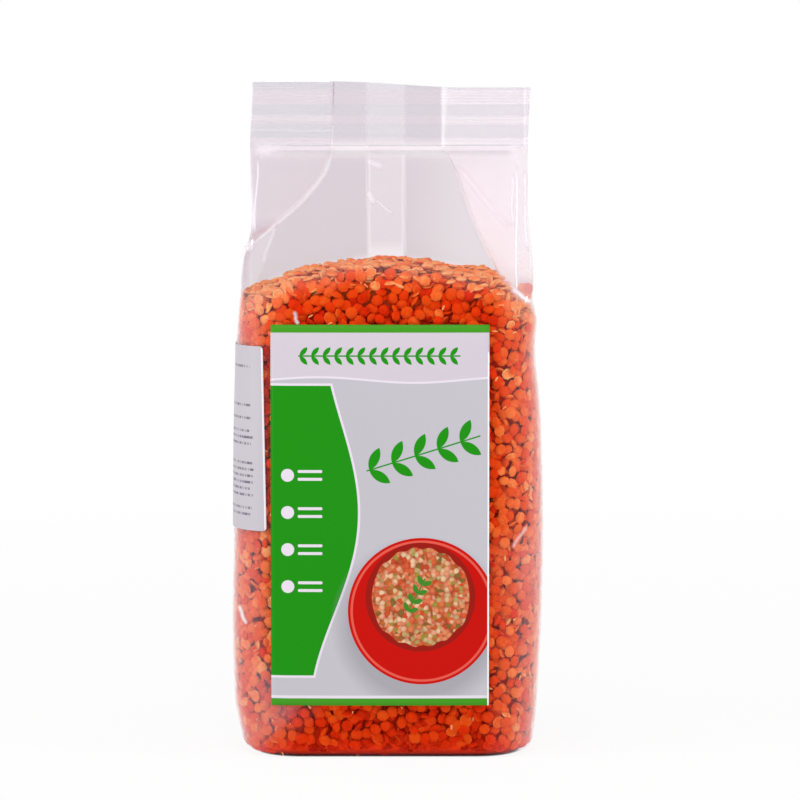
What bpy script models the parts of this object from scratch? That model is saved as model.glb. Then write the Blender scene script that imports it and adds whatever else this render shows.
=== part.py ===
"""A clear side-gusseted bag, packed with split lentils and standing on its base.

Metres, +Z up. The origin is the middle of the base, and the front faces -Y.
The film tube is flattened into the crimped fin at the top, where each side folds
inwards as a gusset, and swells into a rounded box where the lentils fill it.
"""

import bpy
import numpy as np

MM = 0.001

# Driving dimensions of the bag
BAG_HEIGHT = 200 * MM
FIN_HEIGHT = 19.5 * MM
FIN_WIDTH = 82.6 * MM
BASE_ROUNDING = 4.5 * MM
LENTIL_PITCH = 3 * MM  # rise from one row of the lentil pattern to the next
LENTIL_BUMP = 0.5 * MM
LENTIL_DIP = 0.28 * MM
FILL_HEIGHT = 141 * MM  # the film is smooth and empty above this

# Heights in millimetres, each with a half size of the film tube, the depth that a side folds in, or how
# far the tube leans to the right
HALF_WIDTH = [(0, 43.2), (4, 43.6), (9, 44.4), (15, 45.2), (27, 45.8), (45, 46.2), (68, 46.1), (92, 45.7),
              (104, 45.3), (122, 44.3), (134, 44.6), (140, 44.9), (146, 44.3), (152, 43), (158, 41.8),
              (165, 41.3), (179.5, 41.4)]
HALF_DEPTH = [(0, 23.6), (12, 24), (30, 24.3), (60, 24.3), (100, 23.9), (122, 22.7), (136, 19.8),
              (150, 13.6), (163, 7.4), (173, 3.2), (179.5, 1.3)]
PANEL_SWELL = [(0, 0.4), (20, 1.1), (100, 1.1), (140, 0.6), (165, 0.1), (179.5, 0)]
LEFT_FOLD = [(0, -0.4), (120, -0.5), (148, 0), (152.7, 2.8), (156.6, 7.1), (166, 17.5), (174, 23.2),
             (179.5, 24.6)]
RIGHT_FOLD = [(0, -0.4), (110, -0.5), (128.5, 0), (133, 4), (138, 13.8), (142, 17.2), (148, 18.6), (159, 19.2),
              (171.5, 21.6), (179.5, 24.9)]
LEAN = [(0, -0.7), (9, -1.1), (16, -1.4), (27, -1.3), (45, -1), (68, -0.6), (104, -0.9), (120, -1.4), (134, -0.2),
        (140, 0.6), (146, 0.5), (158, 0.1), (165, -0.3), (179.5, -0.5), (197, 0.3)]
CORNER_SPREAD = [(0, 10.6), (110, 10.6), (140, 6.5), (160, 2.4), (179.5, 0.25)]  # spreads are in columns

# The film tube is divided into columns: front panel, right side, back panel, left side
PANEL_COLUMNS = 28
SIDE_COLUMNS = 14
COLUMNS = 2 * (PANEL_COLUMNS + SIDE_COLUMNS)
FINE = 16  # points that the outline has for each column
BASE_ROWS = (0, 0.06, 0.22, 0.5)  # rows on the rounded edge of the base, as parts of its height
EMPTY_ROWS = 11
SEAM_ROWS = 26
FOLD_EDGE = 0.5 * MM  # least thickness of the film edge beside a gusset's mouth

# Labels stuck on the film, with the places of their edges
LABEL_GAP = 0.35 * MM
LABEL_THICKNESS = 0.3 * MM
FRONT_LABEL_LEFT = -35.2 * MM
FRONT_LABEL_WIDTH = 64.3 * MM
FRONT_LABEL_HEIGHTS = (16.3 * MM, 129 * MM)
SIDE_LABEL_RIGHT = -37 * MM
SIDE_LABEL_WIDTH = 52 * MM
SIDE_LABEL_HEIGHTS = (68 * MM, 122.6 * MM)
SIDE_LABEL_ROUNDING = 1.2 * MM

# The seam down the back, where the film's two edges are welded and folded flat
SEAM_CENTRE = -0.9 * MM
SEAM_WIDTH = 11.2 * MM
SEAM_PROUD = 0.6 * MM
SEAM_SUNK = 1.1 * MM

# Crimped bands on the fin: the lowest height and the number of ribs of each
CRIMP_BANDS = [(182 * MM, 3), (188.2 * MM, 3), (194.4 * MM, 4)]
RIB_PITCH = 0.9 * MM
RIB_HEIGHT = 0.14 * MM
FIN_OUTER_HALF = 0.56 * MM  # four layers of film, where a gusset is folded in
FIN_MIDDLE_HALF = 0.36 * MM  # two layers
FIN_TOP_DROP = 1.8 * MM  # the cut top edge falls from left to right

LENTIL_ORANGE = (0.60, 0.075, 0.012, 1)
LABEL_GREY = (0.56, 0.55, 0.58, 1)
STICKER_WHITE = (0.63, 0.59, 0.65, 1)


def clear_scene():
    for thing in list(bpy.data.objects):
        bpy.data.objects.remove(thing)


def material(name, colour, roughness):
    made = bpy.data.materials.new(name)
    made.use_nodes = True
    shader = made.node_tree.nodes["Principled BSDF"]
    shader.inputs["Base Color"].default_value = colour
    shader.inputs["Roughness"].default_value = roughness
    shader.inputs["Metallic"].default_value = 0
    return made


def collection(name):
    made = bpy.data.collections.new(name)
    bpy.context.scene.collection.children.link(made)
    return made


def mesh_object(name, vertices, faces, home, finish):
    mesh = bpy.data.meshes.new(name)
    mesh.from_pydata([tuple(v) for v in vertices], [], faces)
    mesh.materials.append(finish)
    made = bpy.data.objects.new(name, mesh)
    home.objects.link(made)
    return made


def through(stations, height):
    """The value at a height on the smooth curve through the stations: a cubic between each two, with
    slopes that keep it from overshooting them."""
    heights, values = np.array(stations, float).T
    gaps = np.diff(heights)
    rises = np.diff(values) / gaps
    before, after = rises[:-1], rises[1:]
    same_way = before * after > 0
    total = np.where(same_way, before + after, 1)
    inner = np.where(same_way, 2 * before * after / total, 0)
    slopes = np.concatenate([rises[:1], inner, rises[-1:]])
    z = min(max(height / MM, heights[0]), heights[-1])
    k = min(int(np.searchsorted(heights, z, side="right")) - 1, len(gaps) - 1)
    t = (z - heights[k]) / gaps[k]
    ends = values[k] * (1 + 2 * t) * (1 - t) ** 2 + values[k + 1] * t * t * (3 - 2 * t)
    leans = slopes[k] * t * (1 - t) ** 2 - slopes[k + 1] * t * t * (1 - t)
    return ends + gaps[k] * leans


def base_inset(height):
    """How far the film is drawn in at the rounded edge of the base: a quarter circle."""
    left = max(0.0, 1 - height / BASE_ROUNDING)
    return BASE_ROUNDING * (1 - np.sqrt(1 - left * left))


def outline(height):
    """The film tube cut at a height: x and y of a closed line, FINE points for each column, starting
    at the front left corner and running to the right along the front."""
    inset = base_inset(height)
    a = through(HALF_WIDTH, height) * MM - inset
    b = through(HALF_DEPTH, height) * MM - inset
    edge = max(b / (SIDE_COLUMNS / 2), min(FOLD_EDGE, b / 2))
    left = -a + through(LEFT_FOLD, height) * MM
    right = a - through(RIGHT_FOLD, height) * MM
    fold = SIDE_COLUMNS // 2
    runs = [PANEL_COLUMNS, 1, fold - 1, fold - 1, 1]
    columns = np.concatenate([[0], np.cumsum(runs * 2)])
    xs = [-a, a, a, right, a, a, -a, -a, left, -a, -a]
    ys = [-b, -b, -b + edge, 0, b - edge, b, b, b - edge, 0, -b + edge, -b]
    s = np.arange(COLUMNS * FINE) / FINE
    x, y = np.interp(s, columns, xs), np.interp(s, columns, ys)
    swell = through(PANEL_SWELL, height) * MM * np.clip(1 - (x / a) ** 2, 0, 1)
    y += swell * np.clip(y / b, -1, 1) * (np.abs(y) > b * 0.99)
    # Averaging over a window of columns rounds the corners. A sinc does that in the spectrum
    window = through(CORNER_SPREAD, height) * FINE
    turns = np.fft.fftfreq(len(s)) * window
    rounded = np.fft.ifft(np.fft.fft(x + 1j * y) * np.sinc(turns))
    return rounded.real + through(LEAN, height) * MM, rounded.imag


def outward(x, y):
    """The normals of a closed outline that runs anticlockwise, seen from above."""
    dx, dy = np.roll(x, -1) - np.roll(x, 1), np.roll(y, -1) - np.roll(y, 1)
    length = np.hypot(dx, dy)
    return dy / length, -dx / length


def along_film(height, start_x, runs, off):
    """Points reached by walking round the film from the front, where x is start_x, held off it by a
    distance. A positive run goes to the right of the front, and a negative one to the left."""
    x, y = outline(height)
    nx, ny = outward(x, y)
    x, y = x + off * nx, y + off * ny
    laps = [np.concatenate([v, v, v[:1]]) for v in (x, y)]
    walked = np.concatenate([[0], np.cumsum(np.hypot(*[np.diff(v) for v in laps]))])
    second_lap = len(x)
    front = laps[0][second_lap:second_lap + PANEL_COLUMNS * FINE]
    start = np.interp(start_x, front, walked[second_lap:second_lap + PANEL_COLUMNS * FINE])
    return [(np.interp(start + run, walked, laps[0]), np.interp(start + run, walked, laps[1]), height)
            for run in runs]


def lentils_show(column, x, height):
    """Whether lentils press on the film at this column, which is at x: not where a label or the seam
    lies on it."""
    near = LENTIL_PITCH * 1.3
    low, high = FRONT_LABEL_HEIGHTS
    beside = FRONT_LABEL_LEFT - near < x < FRONT_LABEL_LEFT + FRONT_LABEL_WIDTH + near
    under_front = column <= PANEL_COLUMNS and beside and low - near < height < high + near
    low, high = SIDE_LABEL_HEIGHTS
    under_side = x < SIDE_LABEL_RIGHT + near and low - near < height < high + near
    on_back = PANEL_COLUMNS + SIDE_COLUMNS <= column <= COLUMNS - SIDE_COLUMNS
    under_seam = on_back and abs(x - SEAM_CENTRE) < SEAM_WIDTH / 2 + near
    return not (under_front or under_side or under_seam)


def film_rows():
    """(height, half a column's shift, whether lentils show) of each row of the bag's surface. The rows
    with lentils are shifted in turn, so that their columns make a triangular lattice."""
    base = [(BASE_ROUNDING * part, 0, False) for part in BASE_ROWS]
    count = int((FILL_HEIGHT - BASE_ROUNDING) / LENTIL_PITCH) + 1
    filled = [(BASE_ROUNDING + k * LENTIL_PITCH, k % 2 / 2, True) for k in range(count)]
    lowest = filled[-1][0] + LENTIL_PITCH
    top = BAG_HEIGHT - FIN_HEIGHT - MM
    empty = [(z, 0, False) for z in np.linspace(lowest, top, EMPTY_ROWS)]
    return base + filled + empty


def bag_body(home, finish):
    """The film tube from the base to the foot of the fin. One lattice point in three is a lentil, which
    stands out from the six round it."""
    draw = np.random.default_rng(11)
    vertices, faces = [], []
    rows = film_rows()
    for height, shift, filled in rows:
        x, y = outline(height)
        nx, ny = outward(x, y)
        for column in range(COLUMNS):
            place = int((column + shift) * FINE)
            relief = 0.0
            if filled and lentils_show(column + shift, x[place], height):
                centre = column % 3 == (1 if shift else 0)
                relief = LENTIL_BUMP if centre else -LENTIL_DIP
                relief *= draw.uniform(0.6, 1.3)
            vertices.append((x[place] + relief * nx[place], y[place] + relief * ny[place], height))
    for r, (_, shift, _) in enumerate(rows[:-1]):
        for column in range(COLUMNS):
            after = (column + 1) % COLUMNS
            low, low_after = r * COLUMNS + column, r * COLUMNS + after
            high, high_after = low + COLUMNS, low_after + COLUMNS
            if shift:
                faces += [(low, low_after, high_after), (low, high_after, high)]
            else:
                faces += [(low, low_after, high), (low_after, high_after, high)]
    faces.append(tuple(reversed(range(COLUMNS))))
    faces.append(tuple(range(len(vertices) - COLUMNS, len(vertices))))
    return mesh_object("bag", vertices, faces, home, finish)


def grid_faces(rows, columns):
    return [(r * columns + c, r * columns + c + 1, (r + 1) * columns + c + 1, (r + 1) * columns + c)
            for r in range(rows - 1) for c in range(columns - 1)]


def fin_top(x):
    """Height of the fin's cut edge, which falls smoothly from left to right."""
    t = np.clip((x + 0.4 * FIN_WIDTH) / (0.7 * FIN_WIDTH), 0, 1)
    return BAG_HEIGHT - FIN_TOP_DROP * t * t * (3 - 2 * t)


def fin(home, finish):
    """The crimped fin: half of its thickness, open at the middle plane, and mirrored."""
    left_layer = -FIN_WIDTH / 2 + through(LEFT_FOLD, BAG_HEIGHT) * MM
    right_layer = FIN_WIDTH / 2 - through(RIGHT_FOLD, BAG_HEIGHT) * MM
    step = 0.6 * MM
    xs = [-FIN_WIDTH / 2, left_layer - step, left_layer, right_layer, right_layer + step, FIN_WIDTH / 2]
    outer, middle = [FIN_OUTER_HALF] * 2, [FIN_MIDDLE_HALF] * 2
    halves = outer + middle + outer
    foot = BAG_HEIGHT - FIN_HEIGHT - 2 * MM
    levels = [(foot, 0)]
    for low, ribs in CRIMP_BANDS:
        levels.append((low - RIB_PITCH / 2, 0))
        for rib in range(ribs):
            valley = low + rib * RIB_PITCH
            levels += [(valley, -RIB_HEIGHT / 2), (valley + RIB_PITCH / 2, RIB_HEIGHT)]
        levels.append((low + ribs * RIB_PITCH, 0))
    levels.append((BAG_HEIGHT, 0))
    vertices = []
    for z, rib in [(foot, None)] + levels + [(BAG_HEIGHT, None)]:
        for k, x in enumerate([xs[0]] + xs + [xs[-1]]):
            at_rim = rib is None or k in (0, len(xs) + 1)
            half = 0 if at_rim else halves[k - 1] + rib
            share = (z - foot) / (BAG_HEIGHT - foot)
            tall = foot + share * (fin_top(x) - foot)
            vertices.append((x + through(LEAN, tall) * MM, -half, tall))
    faces = grid_faces(len(levels) + 2, len(xs) + 2)
    made = mesh_object("fin", vertices, faces, home, finish)
    mirror = made.modifiers.new("other_side", "MIRROR")
    mirror.use_axis = (False, True, False)
    mirror.merge_threshold = 0.00005
    return made


def back_seam(home, finish):
    """The folded weld down the back: a bar sunk in the film, which runs on up the fin."""
    shoulder = BAG_HEIGHT - FIN_HEIGHT - MM
    levels = [(z, False) for z in np.linspace(BASE_ROUNDING * 0.75, shoulder, SEAM_ROWS)]
    levels += [(shoulder + 0.3 * MM, True), (BAG_HEIGHT - 2 * MM, True)]
    left, right = SEAM_CENTRE - SEAM_WIDTH / 2, SEAM_CENTRE + SEAM_WIDTH / 2
    back = slice((PANEL_COLUMNS + SIDE_COLUMNS) * FINE, (COLUMNS - SIDE_COLUMNS) * FINE)
    vertices = []
    for z, on_fin in levels:
        x, y = outline(z)
        sunk = FIN_MIDDLE_HALF / 2 if on_fin else SEAM_SUNK
        for at, off in ((left, -sunk), (right, -sunk), (right, SEAM_PROUD), (left, SEAM_PROUD)):
            film = FIN_MIDDLE_HALF if on_fin else np.interp(at, x[back][::-1], y[back][::-1])
            vertices.append((at, film + off, z))
    around = 4
    faces = [(low + k, low + (k + 1) % around, low + around + (k + 1) % around, low + around + k)
             for low in range(0, len(vertices) - around, around) for k in range(around)]
    faces.append(tuple(reversed(range(around))))
    faces.append(tuple(range(len(vertices) - around, len(vertices))))
    return mesh_object("back_seam", vertices, faces, home, finish)


def join_all(body, pieces):
    """One union of the body with the pieces' collection, which is then emptied."""
    union = body.modifiers.new("union", "BOOLEAN")
    union.operation = "UNION"
    union.solver = "EXACT"
    union.operand_type = "COLLECTION"
    union.collection = pieces
    graph = bpy.context.evaluated_depsgraph_get()
    joined = bpy.data.meshes.new_from_object(body.evaluated_get(graph))
    body.modifiers.clear()
    body.data = joined
    for piece in list(pieces.objects):
        bpy.data.objects.remove(piece)
    bpy.data.collections.remove(pieces)


def label(name, start_x, run, heights, rounding, cells, home, finish):
    """A sheet on the film, with cells (across, up). Its rows are shortened near the ends where its
    corners are rounded."""
    low, high = heights
    columns, rows = cells[0] + 1, cells[1] + 1
    turn = rounding * np.array([0, 0.12, 0.4] if rounding else [])
    levels = [*(low + turn), *np.linspace(low + rounding, high - rounding, rows), *(high - turn[::-1])]
    first, last = sorted((0, run))
    vertices = []
    for z in levels:
        short = 1 - min(z - low, high - z, rounding) / rounding if rounding else 0
        inset = rounding * (1 - np.sqrt(1 - short * short))
        runs = np.linspace(first + inset, last - inset, columns)
        vertices += along_film(z, start_x, runs, LABEL_GAP)
    made = mesh_object(name, vertices, grid_faces(len(levels), columns), home, finish)
    wall = made.modifiers.new("thickness", "SOLIDIFY")
    wall.thickness = LABEL_THICKNESS
    wall.offset = 1
    return made


def main():
    clear_scene()
    home = collection("bag_of_lentils")
    joined = collection("joined_to_the_bag")
    filled_film = material("filled_film", LENTIL_ORANGE, 0.35)
    printed = material("printed_label", LABEL_GREY, 0.4)
    sticker = material("paper_sticker", STICKER_WHITE, 0.5)
    bag = bag_body(home, filled_film)
    fin(joined, filled_film)
    back_seam(joined, filled_film)
    join_all(bag, joined)
    front = label("front_label", FRONT_LABEL_LEFT, FRONT_LABEL_WIDTH, FRONT_LABEL_HEIGHTS, 0,
                  (14, 13), home, printed)
    side = label("side_label", SIDE_LABEL_RIGHT, -SIDE_LABEL_WIDTH, SIDE_LABEL_HEIGHTS, SIDE_LABEL_ROUNDING,
                 (16, 5), home, sticker)
    for piece in (bag, front, side):
        piece.data.shade_smooth()
        piece.data.set_sharp_from_angle(angle=0.7)


main()
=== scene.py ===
# %% [markdown]
# # A clear bag of split lentils
#
# The bag is a tube of clear film with a pleat, called a gusset, down each side. It is welded into a
# crimped fin at the top, packed tight with split lentils, and dressed with two stuck-on labels.
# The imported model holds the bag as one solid. This script puts the real things in that solid's
# place: the film as a thin surface, and under it every lentil that can be seen.

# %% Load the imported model
import math

import bpy
import numpy as np
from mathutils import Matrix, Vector


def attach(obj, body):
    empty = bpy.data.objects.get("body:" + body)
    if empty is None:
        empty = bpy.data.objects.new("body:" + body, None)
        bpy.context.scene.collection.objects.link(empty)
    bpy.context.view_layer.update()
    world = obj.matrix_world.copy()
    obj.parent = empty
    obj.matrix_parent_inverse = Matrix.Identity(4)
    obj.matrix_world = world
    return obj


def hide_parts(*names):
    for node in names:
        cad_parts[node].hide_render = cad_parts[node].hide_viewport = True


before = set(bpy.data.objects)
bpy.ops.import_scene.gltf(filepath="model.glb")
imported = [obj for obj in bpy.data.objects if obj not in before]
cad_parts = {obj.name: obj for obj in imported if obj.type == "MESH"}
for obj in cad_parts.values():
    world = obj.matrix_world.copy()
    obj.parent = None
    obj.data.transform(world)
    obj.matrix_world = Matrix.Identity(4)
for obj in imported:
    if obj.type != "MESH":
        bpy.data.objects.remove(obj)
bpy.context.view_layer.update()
MM = 0.001

# %% [markdown]
# ## The shape of the film
#
# Every piece of this bag lies on the film or just inside it, so the film's shape comes first. It is
# a loft: at each height the tube is a rectangle whose sides fold in as pleats near the top, with its
# corners rounded. A few stations along the height give the sizes, as pairs of a height and a size in
# millimetres, and a smooth curve joins them.

# %% The film's sizes
BAG_HEIGHT = 200 * MM
FIN_FOOT = 180.5 * MM
BASE_ROUNDING = 4.5 * MM
FIN_TOP_DROP = 1.8 * MM
FIN_WIDTH = 82.6 * MM

HALF_WIDTH = [(0, 43.2), (4, 43.6), (9, 44.4), (15, 45.2), (27, 45.8), (45, 46.2), (68, 46.1), (92, 45.7),
              (104, 45.3), (122, 44.3), (134, 44.6), (140, 44.9), (146, 44.3), (152, 43), (158, 41.8),
              (165, 41.3), (179.5, 41.4)]
HALF_DEPTH = [(0, 23.6), (12, 24), (30, 24.3), (60, 24.3), (100, 23.9), (122, 22.7), (136, 19.8),
              (150, 13.6), (163, 7.4), (173, 3.2), (179.5, 1.3), (181.6, 0.5), (200, 0.45)]
PANEL_SWELL = [(0, 0.4), (20, 1.1), (100, 1.1), (140, 0.6), (165, 0.1), (179.5, 0)]
LEFT_FOLD = [(0, -0.4), (120, -0.5), (148, 0), (152.7, 2.8), (156.6, 7.1), (166, 17.5), (174, 23.2),
             (179.5, 24.6)]
RIGHT_FOLD = [(0, -0.4), (110, -0.5), (128.5, 0), (133, 4), (138, 13.8), (142, 17.2), (148, 18.6),
              (159, 19.2), (171.5, 21.6), (179.5, 24.9)]
LEAN = [(0, -0.7), (9, -1.1), (16, -1.4), (27, -1.3), (45, -1), (68, -0.6), (104, -0.9), (120, -1.4),
        (134, -0.2), (140, 0.6), (146, 0.5), (158, 0.1), (165, -0.3), (179.5, -0.5), (197, 0.3)]
CORNER_SPREAD = [(0, 10.6), (110, 10.6), (140, 6.5), (160, 2.4), (179.5, 0.25)]  # in columns, not mm

PANEL_COLUMNS = 28
SIDE_COLUMNS = 14
COLUMNS = 2 * (PANEL_COLUMNS + SIDE_COLUMNS)
FINE = 16  # points that the outline has for each column
AROUND = COLUMNS * FINE
FOLD_EDGE = 0.5 * MM


# %% The outline at any heights
def through(stations, heights):
    """Smooth curve through (height, value) stations: a cubic between each two, whose slopes are the
    harmonic means of the neighbouring rises, so it never overshoots."""
    at, values = np.array(stations, float).T
    gaps = np.diff(at)
    rises = np.diff(values) / gaps
    before, after = rises[:-1], rises[1:]
    same_way = before * after > 0
    inner = np.where(same_way, 2 * before * after / np.where(same_way, before + after, 1), 0)
    slopes = np.concatenate([rises[:1], inner, rises[-1:]])
    z = np.clip(np.asarray(heights, float) / MM, at[0], at[-1])
    k = np.clip(np.searchsorted(at, z, side="right") - 1, 0, len(gaps) - 1)
    t = (z - at[k]) / gaps[k]
    ends = values[k] * (1 + 2 * t) * (1 - t) ** 2 + values[k + 1] * t * t * (3 - 2 * t)
    leans = slopes[k] * t * (1 - t) ** 2 - slopes[k + 1] * t * t * (1 - t)
    return ends + gaps[k] * leans


def outlines(heights):
    """The tube cut at each height: x and y arrays, one row a height, anticlockwise from the front left
    corner. A polygon of eleven corners is divided evenly, swelled, and rounded by a sliding average,
    which is a product with a sinc in the spectrum."""
    z = np.asarray(heights, float)[:, None]
    left_over = np.clip(1 - z / BASE_ROUNDING, 0, 1)
    inset = BASE_ROUNDING * (1 - np.sqrt(1 - left_over ** 2))
    wide = through(HALF_WIDTH, z) * MM - inset
    deep = through(HALF_DEPTH, z) * MM - inset
    edge = np.maximum(deep / (SIDE_COLUMNS / 2), np.minimum(FOLD_EDGE, deep / 2))
    left = -wide + through(LEFT_FOLD, z) * MM
    right = wide - through(RIGHT_FOLD, z) * MM
    middle = 0 * z
    fold = SIDE_COLUMNS // 2
    corners = np.concatenate([[0], np.cumsum([PANEL_COLUMNS, 1, fold - 1, fold - 1, 1] * 2)])
    xs = np.hstack([-wide, wide, wide, right, wide, wide, -wide, -wide, left, -wide, -wide])
    ys = np.hstack([-deep, -deep, -deep + edge, middle, deep - edge, deep, deep, deep - edge, middle,
                    -deep + edge, -deep])
    columns = np.arange(AROUND) / FINE
    shares = np.array([np.interp(columns, corners, row) for row in np.eye(len(corners))])
    x, y = xs @ shares, ys @ shares
    swell = through(PANEL_SWELL, z) * MM * np.clip(1 - (x / wide) ** 2, 0, 1)
    y = y + swell * np.clip(y / deep, -1, 1) * (np.abs(y) > deep * 0.99)
    window = through(CORNER_SPREAD, z) * FINE
    rounded = np.fft.ifft(np.fft.fft(x + 1j * y, axis=1) * np.sinc(np.fft.fftfreq(AROUND) * window), axis=1)
    return rounded.real + through(LEAN, z) * MM, rounded.imag


def slopes_round(values):
    """Rise of a closed row of values from the point before each to the one after."""
    return np.roll(values, -1, axis=1) - np.roll(values, 1, axis=1)


# A table of the film every half millimetre, with its outward normals, for placing things on it
TABLE_STEP = 0.5 * MM
table_heights = np.arange(0, BAG_HEIGHT + TABLE_STEP, TABLE_STEP)
table_x, table_y = outlines(table_heights)
table = np.stack([table_x, table_y, np.broadcast_to(table_heights[:, None], table_x.shape)], axis=-1)
round_way = np.stack([slopes_round(table_x), slopes_round(table_y), 0 * table_x], axis=-1)
up_way = np.gradient(table, axis=0)
table_normals = np.cross(round_way, up_way)
table_normals /= np.linalg.norm(table_normals, axis=-1, keepdims=True)


def on_film(share, heights, values=table):
    """A table's value at a share (0 to 1) of the way round and at a height, by linear steps each way."""
    column = np.asarray(share) % 1 * AROUND
    row = np.clip(np.asarray(heights) / TABLE_STEP, 0, len(table_heights) - 1.001)
    before, below = np.floor(column).astype(int), np.floor(row).astype(int)
    past, over = (column - before)[..., None], (row - below)[..., None]
    before, after = before % AROUND, (before + 1) % AROUND
    low = values[below, before] * (1 - past) + values[below, after] * past
    high = values[below + 1, before] * (1 - past) + values[below + 1, after] * past
    return low * (1 - over) + high * over


halfway_up = len(table_heights) // 2
print("film table:", table.shape, "half depth at 100 mm:", round(table_y[halfway_up].max() / MM, 1), "mm")

# %% [markdown]
# ## Helpers for meshes
#
# Every piece is a grid of points worked out as one array, or many copies of one small shape. Two
# functions turn such arrays into Blender meshes. A number can be kept at each point, such as how
# cloudy the film is there, for the material to read.


# %% Grids and meshes
def grid_faces(rows, columns, closed=False):
    """Quads of a grid of rows times columns points; closed joins the last column to the first."""
    row, here = np.meshgrid(np.arange(rows - 1), np.arange(columns if closed else columns - 1), indexing="ij")
    after = (here + 1) % columns
    low, high = row * columns, (row + 1) * columns
    return np.stack([low + here, low + after, high + after, high + here], axis=-1).reshape(-1, 4)


def make_piece(name, points, faces, material, numbers=None):
    """A mesh object at the origin, smooth shaded, which rides with the bag. numbers holds one value a
    point under each name."""
    mesh = bpy.data.meshes.new(name)
    mesh.from_pydata(np.asarray(points).reshape(-1, 3).tolist(), [], faces)
    for key, values in (numbers or {}).items():
        layer = mesh.attributes.new(key, "FLOAT", "POINT")
        layer.data.foreach_set("value", np.asarray(values, np.float32).ravel())
    mesh.materials.append(material)
    mesh.shade_smooth()
    piece = bpy.data.objects.new(name, mesh)
    bpy.context.scene.collection.objects.link(piece)
    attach(piece, "root")
    triangles = sum(len(face) - 2 for face in faces)
    print(f"{name}: {triangles} triangles")
    return piece


# %% [markdown]
# ## Helpers for materials
#
# A finish is a small sum: a tint times a mask, plus a stain. Written as nodes that is a page of
# boxes, so the class Wire lets Python's own operators make the Math nodes, and Finish adds any
# other node by name. The sums below can then be read as sums.


# %% Shader maths as Python
class Wire:
    """An output socket that takes part in sums. Each operator adds one Math node."""

    def __init__(self, finish, socket):
        self.finish = finish
        self.socket = socket

    def math(self, operation, *values):
        made = self.finish.node("ShaderNodeMath", {"operation": operation}, dict(enumerate(values)))
        return Wire(self.finish, made.outputs[0])

    def __add__(self, other):
        return self.math("ADD", self, other)

    def __radd__(self, other):
        return self.math("ADD", other, self)

    def __sub__(self, other):
        return self.math("SUBTRACT", self, other)

    def __rsub__(self, other):
        return self.math("SUBTRACT", other, self)

    def __mul__(self, other):
        return self.math("MULTIPLY", self, other)

    def __rmul__(self, other):
        return self.math("MULTIPLY", other, self)

    def __truediv__(self, other):
        return self.math("DIVIDE", self, other)

    def __pow__(self, other):
        return self.math("POWER", self, other)

    def __abs__(self):
        return self.math("ABSOLUTE", self)

    def sine(self):
        return self.math("SINE", self)

    def floor(self):
        return self.math("FLOOR", self)

    def repeat(self, length):
        return self.math("FLOORED_MODULO", self, length)

    def least(self, other):
        return self.math("MINIMUM", self, other)

    def most(self, other):
        return self.math("MAXIMUM", self, other)

    def clamp(self):
        return self.math("MINIMUM", self.math("MAXIMUM", self, 0), 1)


class Finish:
    """A material under construction."""

    def __init__(self, name):
        self.material = bpy.data.materials.new(name)
        self.material.use_nodes = True
        self.tree = self.material.node_tree
        self.tree.nodes.clear()

    def node(self, kind, settings=None, inputs=None):
        """Adds a node: its settings first, then a value or a link for each input, by name or number."""
        made = self.tree.nodes.new(kind)
        for key, value in (settings or {}).items():
            if key == "stops":
                self.set_stops(made.color_ramp, value)
            else:
                setattr(made, key, value)
        for key, value in (inputs or {}).items():
            if isinstance(value, Wire):
                self.tree.links.new(value.socket, made.inputs[key])
            else:
                made.inputs[key].default_value = value
        return made

    def set_stops(self, ramp, stops):
        while len(ramp.elements) < len(stops):
            ramp.elements.new(1)
        for element, (at, colour) in zip(ramp.elements, stops):
            element.position = at
            element.color = (*colour, 1)

    def wire(self, kind, settings=None, inputs=None, output=0):
        return Wire(self, self.node(kind, settings, inputs).outputs[output])

    def number(self, name):
        """A number kept at the points of the piece."""
        return self.wire("ShaderNodeAttribute", {"attribute_name": name}, output="Fac")

    def mix(self, share, first, second):
        """From the first colour to the second as share goes from 0 to 1."""
        colours = {0: share, 6: self.colour(first), 7: self.colour(second)}
        return self.wire("ShaderNodeMix", {"data_type": "RGBA"}, colours, output=2)

    def colour(self, value):
        return value if isinstance(value, Wire) else (*value[:3], 1)

    def ramp(self, share, stops):
        return self.wire("ShaderNodeValToRGB", {"stops": stops}, {0: share})

    def noise(self, scale, detail):
        """Soft noise, about 0 to 1, with features of 1 / scale metres."""
        inputs = {"Vector": self.place(), "Scale": scale, "Detail": detail}
        return self.wire("ShaderNodeTexNoise", inputs=inputs)

    def place(self):
        return self.wire("ShaderNodeTexCoord", output="Object")

    def parts(self, vector):
        """The x, y and z of a vector, as three numbers."""
        split = self.node("ShaderNodeSeparateXYZ", inputs={0: vector})
        return [Wire(self, socket) for socket in split.outputs]

    def bump(self, height, distance):
        return self.wire("ShaderNodeBump", inputs={"Height": height, "Distance": distance, "Strength": 1})

    def principled(self, **inputs):
        named = {key.replace("_", " "): value for key, value in inputs.items()}
        named["Base Color"] = self.colour(named["Base Color"])
        return self.wire("ShaderNodeBsdfPrincipled", inputs=named)

    def blend(self, share, first, second):
        """A Mix Shader from the first shader to the second."""
        return self.wire("ShaderNodeMixShader", inputs={0: share, 1: first, 2: second})

    def done(self, shader):
        self.node("ShaderNodeOutputMaterial", inputs={"Surface": shader})
        return self.material
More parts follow.
